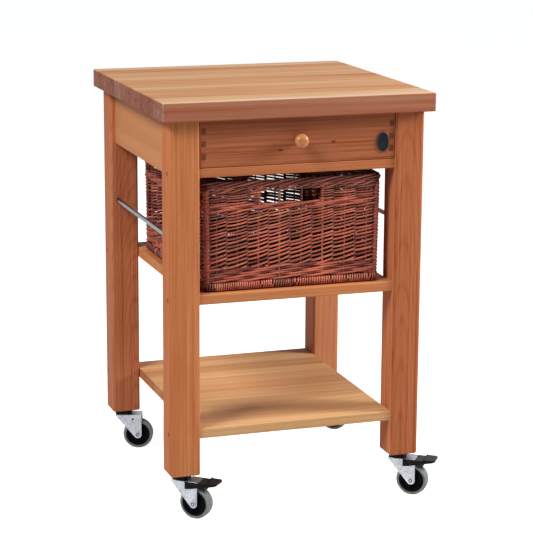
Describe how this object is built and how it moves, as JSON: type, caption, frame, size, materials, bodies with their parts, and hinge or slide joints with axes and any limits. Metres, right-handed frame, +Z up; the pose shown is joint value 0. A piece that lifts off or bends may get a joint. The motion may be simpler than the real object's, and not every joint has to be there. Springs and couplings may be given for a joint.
{
  "type": "kitchen trolley",
  "caption": "Square beech kitchen trolley on swivel casters with a thick worktop, a drawer, a pull-out wicker basket, a low shelf and side towel rails.",
  "frame": {"origin": "middle of the frame on the floor, where the wheels stand", "axes": "+X to the right seen from the drawer side, +Y to the back, +Z up; the drawer opens towards -Y"},
  "size_m": [0.63, 0.6207, 0.9],
  "materials": {
    "top_wood": "oiled beech, glued staves",
    "frame_wood": "oiled beech",
    "shelf_wood": "oiled beech board",
    "drawer_wood": "oiled beech",
    "drawer_panel": "plain plywood",
    "rail_steel": "satin",
    "zinc_steel": "bright zinc plated",
    "black_plastic": "satin moulded",
    "grey_rubber": "matte",
    "brake_rubber": "matte",
    "badge_black": "bare satin black plate",
    "wicker": "stained willow"
  },
  "bodies": {
    "frame": {"worktop": "top_wood", "leg_front_left": "frame_wood", "leg_front_right": "frame_wood", "leg_back_left": "frame_wood", "leg_back_right": "frame_wood", "side_apron_left": "frame_wood", "side_apron_right": "frame_wood", "back_apron": "frame_wood", "drawer_rail": "frame_wood", "drawer_runner_left": "frame_wood", "drawer_runner_right": "frame_wood", "middle_shelf": "shelf_wood", "lower_shelf": "shelf_wood", "towel_rail_left": "rail_steel", "towel_rail_right": "rail_steel", "leg_plugs": "frame_wood", "shelf_screws": "zinc_steel", "apron_dowels": "frame_wood", "worktop_brackets": "zinc_steel", "worktop_screws": "zinc_steel", "runner_screws": "zinc_steel", "leg_inserts": "zinc_steel", "caster_stems": "zinc_steel", "swivel_races": "zinc_steel", "dust_rings": "black_plastic"},
    "drawer": {"drawer_front": "drawer_wood", "drawer_side_left": "drawer_wood", "drawer_side_right": "drawer_wood", "drawer_back": "drawer_wood", "drawer_bottom_panel": "drawer_panel", "drawer_knob": "drawer_wood", "knob_screw": "zinc_steel", "drawer_badge": "badge_black"},
    "basket": {"basket_walls": "wicker", "basket_base": "wicker", "basket_rim": "wicker", "basket_foot": "wicker"},
    "caster_front_left": {"caster_fork_front_left": "zinc_steel", "caster_axle_front_left": "zinc_steel", "brake_pin_front_left": "black_plastic"},
    "wheel_front_left": {"wheel_hub_front_left": "black_plastic", "wheel_tyre_front_left": "grey_rubber"},
    "brake_front_left": {"brake_pedal_front_left": "black_plastic", "brake_shoe_front_left": "brake_rubber"},
    "caster_front_right": {"caster_fork_front_right": "zinc_steel", "caster_axle_front_right": "zinc_steel", "brake_pin_front_right": "black_plastic"},
    "wheel_front_right": {"wheel_hub_front_right": "black_plastic", "wheel_tyre_front_right": "grey_rubber"},
    "brake_front_right": {"brake_pedal_front_right": "black_plastic", "brake_shoe_front_right": "brake_rubber"},
    "caster_back_left": {"caster_fork_back_left": "zinc_steel", "caster_axle_back_left": "zinc_steel"},
    "wheel_back_left": {"wheel_hub_back_left": "black_plastic", "wheel_tyre_back_left": "grey_rubber"},
    "caster_back_right": {"caster_fork_back_right": "zinc_steel", "caster_axle_back_right": "zinc_steel"},
    "wheel_back_right": {"wheel_hub_back_right": "black_plastic", "wheel_tyre_back_right": "grey_rubber"}
  },
  "joints": [
    {"name": "drawer_slide", "type": "slide", "parent": "frame", "child": "drawer", "axis": [0, -1, 0], "range_m": [0, 0.33]},
    {"name": "basket_slide", "type": "slide", "parent": "frame", "child": "basket", "axis": [0, -1, 0], "range_m": [0, 0.4]},
    {"name": "swivel_front_left", "type": "hinge", "parent": "frame", "child": "caster_front_left", "pos_m": [-0.2495, -0.2495, 0.083], "axis": [0, 0, 1], "continuous": true},
    {"name": "wheel_spin_front_left", "type": "hinge", "parent": "caster_front_left", "child": "wheel_front_left", "pos_m": [-0.22386, -0.27259, 0.035], "axis": [0.6691, 0.7431, 0], "continuous": true},
    {"name": "brake_press_front_left", "type": "hinge", "parent": "caster_front_left", "child": "brake_front_left", "pos_m": [-0.23263, -0.26469, 0.073], "axis": [0.6691, 0.7431, 0], "range_deg": [0, 7]},
    {"name": "swivel_front_right", "type": "hinge", "parent": "frame", "child": "caster_front_right", "pos_m": [0.2495, -0.2495, 0.083], "axis": [0, 0, 1], "continuous": true},
    {"name": "wheel_spin_front_right", "type": "hinge", "parent": "caster_front_right", "child": "wheel_front_right", "pos_m": [0.27741, -0.26978, 0.035], "axis": [0.5878, 0.809, 0], "continuous": true},
    {"name": "brake_press_front_right", "type": "hinge", "parent": "caster_front_right", "child": "brake_front_right", "pos_m": [0.26786, -0.26284, 0.073], "axis": [0.5878, 0.809, 0], "range_deg": [0, 7]},
    {"name": "swivel_back_left", "type": "hinge", "parent": "frame", "child": "caster_back_left", "pos_m": [-0.2495, 0.2495, 0.083], "axis": [0, 0, 1], "continuous": true},
    {"name": "wheel_spin_back_left", "type": "hinge", "parent": "caster_back_left", "child": "wheel_back_left", "pos_m": [-0.21708, 0.2377, 0.035], "axis": [0.342, 0.9397, 0], "continuous": true},
    {"name": "swivel_back_right", "type": "hinge", "parent": "frame", "child": "caster_back_right", "pos_m": [0.2495, 0.2495, 0.083], "axis": [0, 0, 1], "continuous": true},
    {"name": "wheel_spin_back_right", "type": "hinge", "parent": "caster_back_right", "child": "wheel_back_right", "pos_m": [0.27938, 0.23225, 0.035], "axis": [0.5, 0.866, 0], "continuous": true}
  ]
}
